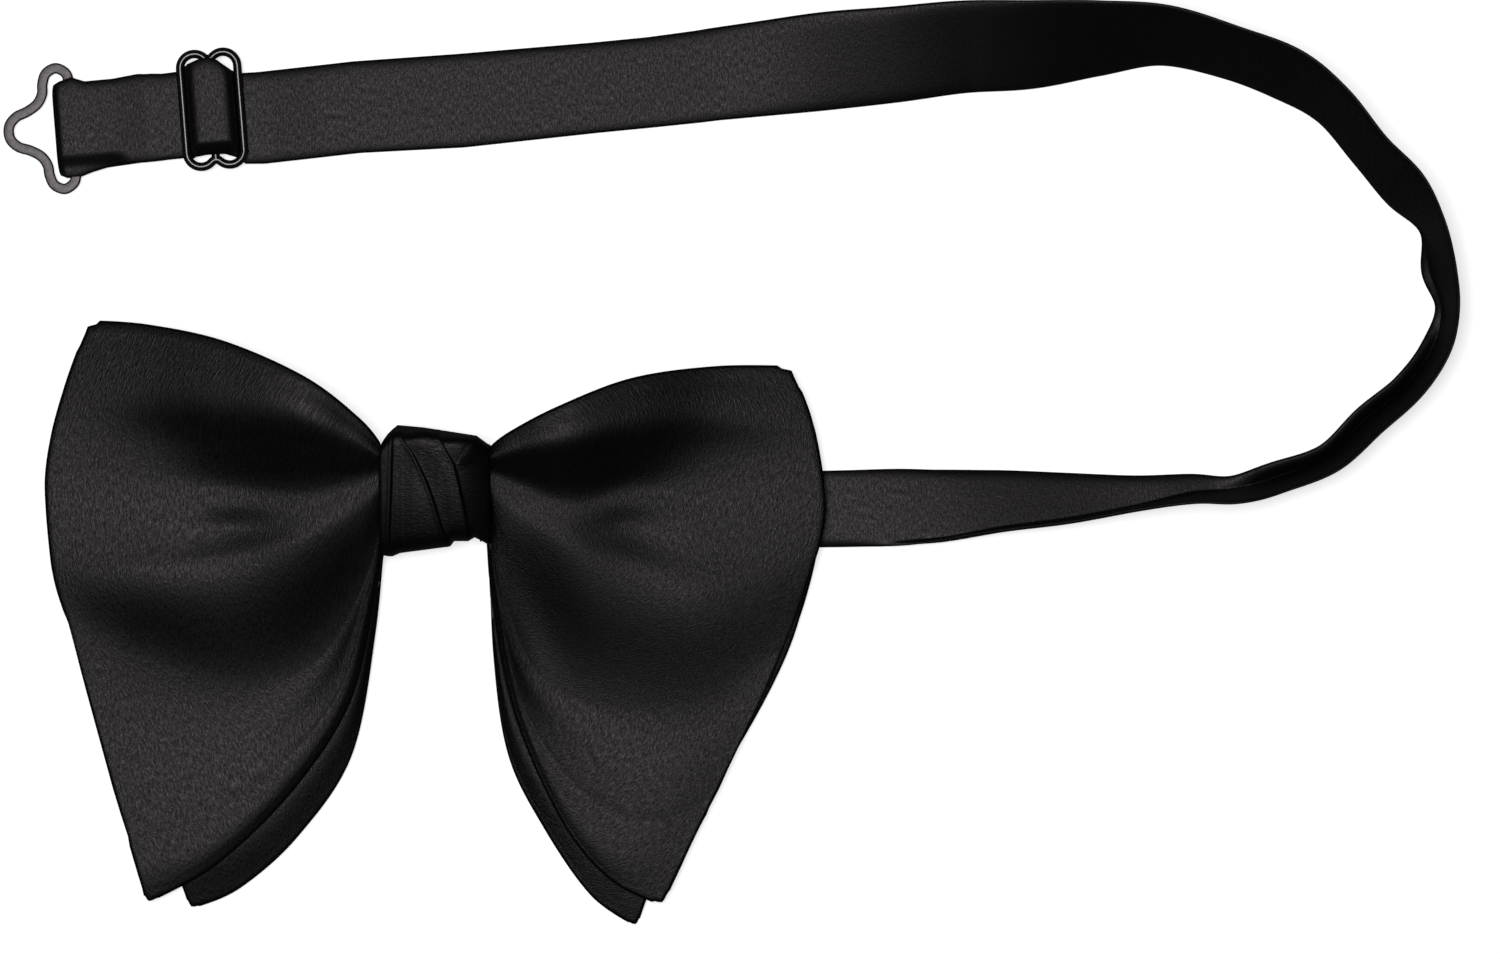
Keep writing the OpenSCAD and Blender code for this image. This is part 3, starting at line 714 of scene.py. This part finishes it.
# ---- slider ----
# Black lacquered wire bent into a waisted oblong, with a bar welded across its waist. The strap
# runs under its long wires and up over the bar, and the strap's end is sewn round the bar.
def strap_path(points, steps):
    """Even steps along a path in s and z, each with its slope."""
    points = [Vector((s, z)) for s, z in points]
    lengths = [0.0]
    for a, b in zip(points, points[1:]):
        lengths.append(lengths[-1] + (b - a).length)
    places = []
    for i in range(steps + 1):
        want = lengths[-1] * i / steps
        k = max(j for j in range(len(points) - 1) if lengths[j] <= want + 1e-9)
        f = (want - lengths[k]) / (lengths[k + 1] - lengths[k])
        places.append(points[k].lerp(points[k + 1], f))
    for _ in range(4):
        places = [places[0]] + [(places[i - 1] + 2 * places[i] + places[i + 1]) / 4
                                for i in range(1, steps)] + [places[-1]]
    slopes = [places[min(i + 1, steps)] - places[max(i - 1, 0)] for i in range(steps + 1)]
    return [(p.x, p.y, math.atan2(d.y, d.x)) for p, d in zip(places, slopes)]


# The strap's hump over the bar, as s and height, and its edges
half_hump = [(0, 6.15), (3.2, 6), (4.1, 5.6), (4.4, 4.8), (4.45, 3.4), (4.5, 2.6), (4.9, 1.9),
             (5.4, under_wire), (run_end, under_wire)]
hump = [(-s, z) for s, z in reversed(half_hump)] + half_hump[1:]
hump_edges = [(-6, -8.6, 11.2), (-4.5, -8.1, 11.3), (-2, -7.8, 12.2), (0, -7.8, 12.5),
              (2, -7.9, 11.8), (4.5, -8.8, 9.6), (6, -10.2, 8.9)]
hump_rings = [run_ring(s, z, edges_at(hump_edges, s), turn=a,
                       dip=2.2 * soft_step((5 - abs(s)) / 2))
              for s, z, a in strap_path(hump, 60)]
bm = ring_skin(hump_rings)
hump_piece = finished("slider_strap_hump", bm, band_satin_painted_lighter, "slider", ["band_hump"])

eye_bar_z, slider_z, slider_t, loop_r = 1.775, 3.3, 1.7, 1.5


def arc(centre, radius, start, end, steps):
    """Points round an arc, between two angles in degrees."""
    return [(centre[0] + radius * math.cos(math.radians(start + (end - start) * i / steps)),
             centre[1] + radius * math.sin(math.radians(start + (end - start) * i / steps)))
            for i in range(steps + 1)]


loop = ([(-4.2, 0.6), (-3.6, 0.6), (-2.6, 0.95), (-1.2, 1.55)]
        + arc((0, slider_z), loop_r, -90, 130, 20) + [(-1.7, 3.65), (-2.2, 3), (-2.7, 2.55)])
end_edges, end_t = (-7.3, 9.7), 1.0
bm = ring_skin([run_ring(s, z, end_edges, end_t, turn=a) for s, z, a in strap_path(loop, 60)])
loop_piece = finished("slider_strap_end", bm, band_satin_painted_lighter, "slider", ["band_end_loop"])

wire = grained("black lacquered wire", [(0.002, 0.002, 0.002), (0.008, 0.007, 0.008)], scale=900,
               depth=0.03, strength=0.05,
               finish={"Roughness": 0.2, "Specular IOR Level": 0.45, "Coat Weight": 0.1,
                       "Coat Roughness": 0.1})

slider_length, wire_r, lobe_r, waist_r = 25.5, 0.9, 3.0, 1.2
lobe_y = slider_length / 2 - wire_r - lobe_r
waist_dy = math.sqrt((lobe_r + waist_r) ** 2 - lobe_r ** 2)
waist_turn = math.degrees(math.atan2(waist_dy, lobe_r))
half_oblong = (arc((lobe_r, lobe_y), lobe_r, 0, 180 - waist_turn, 20)
               + arc((0, lobe_y + waist_dy), waist_r, -waist_turn, waist_turn - 180, 10)[1:-1]
               + arc((-lobe_r, lobe_y), lobe_r, waist_turn, 180, 20))
oblong = half_oblong + [(-x, -y) for x, y in half_oblong]


def on_run(s, t, z):
    """A place in metres, from s along the upper run, t across it and its height."""
    return (run_origin + run_along * s + run_across * t + Vector((0, 0, z))) * mm


def wire_rings(path, radius, z, sides, closed=False, place=on_run):
    """Round wire along a flat path."""
    made = []
    n = len(path)
    for i, (s, t) in enumerate(path):
        before = path[(i - 1) % n if closed else max(i - 1, 0)]
        after = path[(i + 1) % n if closed else min(i + 1, n - 1)]
        d = Vector((after[0] - before[0], after[1] - before[1])).normalized()
        ring = []
        for k in range(sides):
            a = 2 * math.pi * k / sides
            out, up = radius * math.cos(a), radius * math.sin(a)
            ring.append(place(s + d.y * out, t - d.x * out, z + up))
        made.append(ring)
    return made


frame_wire = [(s, t + slider_t) for s, t in oblong]
bm = ring_skin(wire_rings(frame_wire, wire_r, slider_z, 20, closed=True), closed=True)
finished("slider_frame", bm, wire, "slider", ["slider_wire"])
bar_half = lobe_y + waist_dy - waist_r
crossbar = [(0, slider_t - bar_half + 2 * bar_half * i / 8) for i in range(9)]
bm = ring_skin(wire_rings(crossbar, wire_r, slider_z, 20))
finished("slider_crossbar", bm, wire, "slider", ["slider_bar"])

# ---- strap's fold round the eye ----
# Past the slider the strap goes on to the eye, folds round the eye's bar and runs back under
# itself to the slider, where it is sewn to the bar. All of it is the same double satin sleeve.
fold_z, eye_fold_s = 2.95, -31.65
fold_r = (fold_z - band_low) / 2
left_path = ([(-run_end, under_wire), (-10, under_wire), (-14, 1.9), (-20, 2.6), (-25, fold_z),
              (-28, fold_z)]
             + arc((eye_fold_s, eye_bar_z), fold_r, 90, 270, 24)
             + [(-28, band_low), (-20, band_low), (-12, band_low), (-4.3, band_low)])
left_edges = [(-33.4, -9.15, 9.1), (-31.5, -10.2, 10.1), (-29, -10.3, 10.8), (-26.2, -9.4, 9.7),
              (-20.3, -8.1, 9.8), (-12, -8.3, 10.8), (-6, -8.6, 11.2)]
under_edges = [(-33.4, -9.15, 9.1), (-30, -9.3, 9.3), (-26, -8.8, 8.8), (-4, -7.4, 9.6)]
left_rings = []
for s, z, a in strap_path(left_path, 260):
    upper = soft_step((z - eye_bar_z) / 0.6 + 0.5)
    over, under = edges_at(left_edges, s), edges_at(under_edges, s)
    edges = [o * upper + u * (1 - upper) for o, u in zip(over, under)]
    dip = 0.9 * upper * soft_step((-17 - s) / 5)
    left_rings.append(run_ring(s, z, edges, turn=a + math.pi, dip=dip))
bm = ring_skin(left_rings)
left_band = finished("eye_strap_fold", bm, band_satin_painted_lighter, None,
                     ["band_left_run", "band_return_run", "band_eye_fold"])
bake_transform(left_band)

# ---- eye ----
# The eye is pressed from gunmetal plate: a thin strip bent to a nose with a lobe on each side,
# with a bar across it that the strap's fold holds.
plate = grained("gunmetal plate", [(0.03, 0.028, 0.029), (0.085, 0.078, 0.081)], scale=1400,
                depth=0.04, strength=0.4, detail=4, finish={"Metallic": 1.0, "Roughness": 0.42})

eye_half = [(-29.6, 9.9), (-30.2, 11.6), (-32.2, 12.7), (-34.3, 11.7), (-35.15, 9.6), (-35.4, 7.5),
            (-36.6, 5.5), (-38.8, 4.1), (-41.1, 3.2), (-42.6, 1.7), (-43, 0)]
eye_line = eye_half + [(s, -t) for s, t in reversed(eye_half[:-1])]
eye_shift, eye_w, plate_t = 0.3, 2.2, 1.0


def smooth_line(points, steps):
    """A smooth line through flat points, in even steps between them."""
    return [tuple(along([(x, y, 0) for x, y in points], i / steps))[:2] for i in range(steps + 1)]


def strip_rings(path, width, thickness, place):
    """A pressed strip with rounded edges along a flat path."""
    round_r, made = 0.35, []
    half, high = width / 2 - round_r, thickness / 2 - round_r
    corners = [(half, high, 0), (-half, high, 90), (-half, -high, 180), (half, -high, 270)]
    for i, (s, t) in enumerate(path):
        before, after = path[max(i - 1, 0)], path[min(i + 1, len(path) - 1)]
        d = Vector((after[0] - before[0], after[1] - before[1])).normalized()
        ring = []
        for a, b, turn in corners:
            for step in range(5):
                angle = math.radians(turn + 22.5 * step)
                out, up = a + round_r * math.cos(angle), b + round_r * math.sin(angle)
                ring.append(place(s + d.y * out, t - d.x * out, up))
        made.append(ring)
    return made


def join(target, other):
    """Adds another mesh to this one."""
    scrap = bpy.data.meshes.new("scrap")
    other.to_mesh(scrap)
    target.from_mesh(scrap)
    other.free()
    bpy.data.meshes.remove(scrap)


def on_eye(s, t, z):
    return on_run(s, t + eye_shift, eye_bar_z + z)


bm = ring_skin(strip_rings(smooth_line(eye_line, 120), eye_w, plate_t, on_eye))
eye_bar = [(-29.9, eye_shift - 9.8 + 19.6 * i / 12) for i in range(13)]
clip_bar_r = 0.55
join(bm, ring_skin(wire_rings(eye_bar, clip_bar_r, eye_bar_z, 16)))
finished("eye_plate", bm, plate, "eye", ["eye_clip"])

# ---- tab and hook ----
# Behind the left wing a short tab of the same strap is folded round the hook's bar and sewn.
# The hook is pressed from gunmetal plate, with a tongue bent back over itself.
tab_x, tab_w = -40.5, 15.0


def folded_ring(x, z, slope, width, thickness):
    """Section of a strip that lies along x and folds back over itself."""
    turn = slope + math.pi
    thick = math.cos(turn) * Vector((0, 0, 1)) - math.sin(turn) * Vector((1, 0, 0))
    places = [Vector((x, width * (k / across_steps - 0.5), z)) for k in range(across_steps + 1)]
    return cloth_ring(places, [thick] * len(places), thickness)


tab_path = ([(-36.6, 2.9), (-38, fold_z)] + arc((tab_x, eye_bar_z), fold_r, 90, 270, 24)
            + [(-38, band_low), (-36.6, band_low)])
bm = ring_skin([folded_ring(x, z, a, tab_w, band_t) for x, z, a in strap_path(tab_path, 90)])
tab = finished("hook_tab", bm, band_satin_painted_lighter, "bow", ["tab_fold"])

hook_half, hook_w = 9.2, 2.0
tongue_w, tongue_t, tongue_r = 5.0, 0.8, 1.1
frame_line = [(tab_x, hook_half), (tab_x - 3, hook_half), (tab_x - 4.6, hook_half - 0.5),
              (tab_x - 5, hook_half - 2), (tab_x - 5, 4)]
frame_line = frame_line + [(x, -y) for x, y in reversed(frame_line)]


def on_hook(x, y, z):
    return Vector((x, y, eye_bar_z + z)) * mm


bm = ring_skin(strip_rings(smooth_line(frame_line, 90), hook_w, plate_t, on_hook))
hook_bar = [(tab_x, -hook_half + 2 * hook_half * i / 12) for i in range(13)]
join(bm, ring_skin(wire_rings(hook_bar, clip_bar_r, 0, 16, place=on_hook)))
tongue_path = ([(-45.5, eye_bar_z), (-50, eye_bar_z), (-53.5, eye_bar_z)]
               + arc((-54.3, eye_bar_z + tongue_r), tongue_r, 270, 90, 16)
               + [(-53, eye_bar_z + 2.2), (-50.6, eye_bar_z + 2.15)])
tongue_rings = [folded_ring(x, z, a, tongue_w, tongue_t)
                for x, z, a in strap_path(tongue_path, 70)]
join(bm, ring_skin(tongue_rings))
finished("hook_plate", bm, plate, "hook", ["hook_clip"])

# ---- threads ----
# Black sewing thread gathers the waist in five turns under the knot. Hand stitches of it close the
# knot at the back, tack the strap to the bow and sew down the strap's end and the tab.
thread = grained("black thread", [(0.003, 0.003, 0.003), (0.02, 0.018, 0.019)], scale=900,
                 depth=0.05, detail=2, texture="Wave", finish={"Roughness": 0.7})
round_waist = [(9, 8), (9, 11), (7.4, 13.4), (2, 13.6), (-3, 12.2), (-8.6, 9.4), (-8.8, 6),
               (-8.4, 3.6), (-4, 1.9), (4, 1.9), (8.6, 3.6), (9, 8)]
turns, turn_gap, thread_r = 5, 1.2, 0.3


def round_bow(y, z, x):
    return Vector((-x, y, z)) * mm


bm = bmesh.new()
for turn in range(turns):
    x = turn_gap * (turn - (turns - 1) / 2)
    rings = wire_rings(smooth_line(round_waist, 96)[:-1], thread_r, x, 8, closed=True,
                       place=round_bow)
    join(bm, ring_skin(rings, closed=True))
finished("gathering_turns", bm, thread, "bow", ["gathering_thread"])
for node in ("band_tack", "knot_stitches", "tab_stitches", "band_end_stitches"):
    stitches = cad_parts[node].data
    stitches.materials.clear()
    stitches.materials.append(thread)
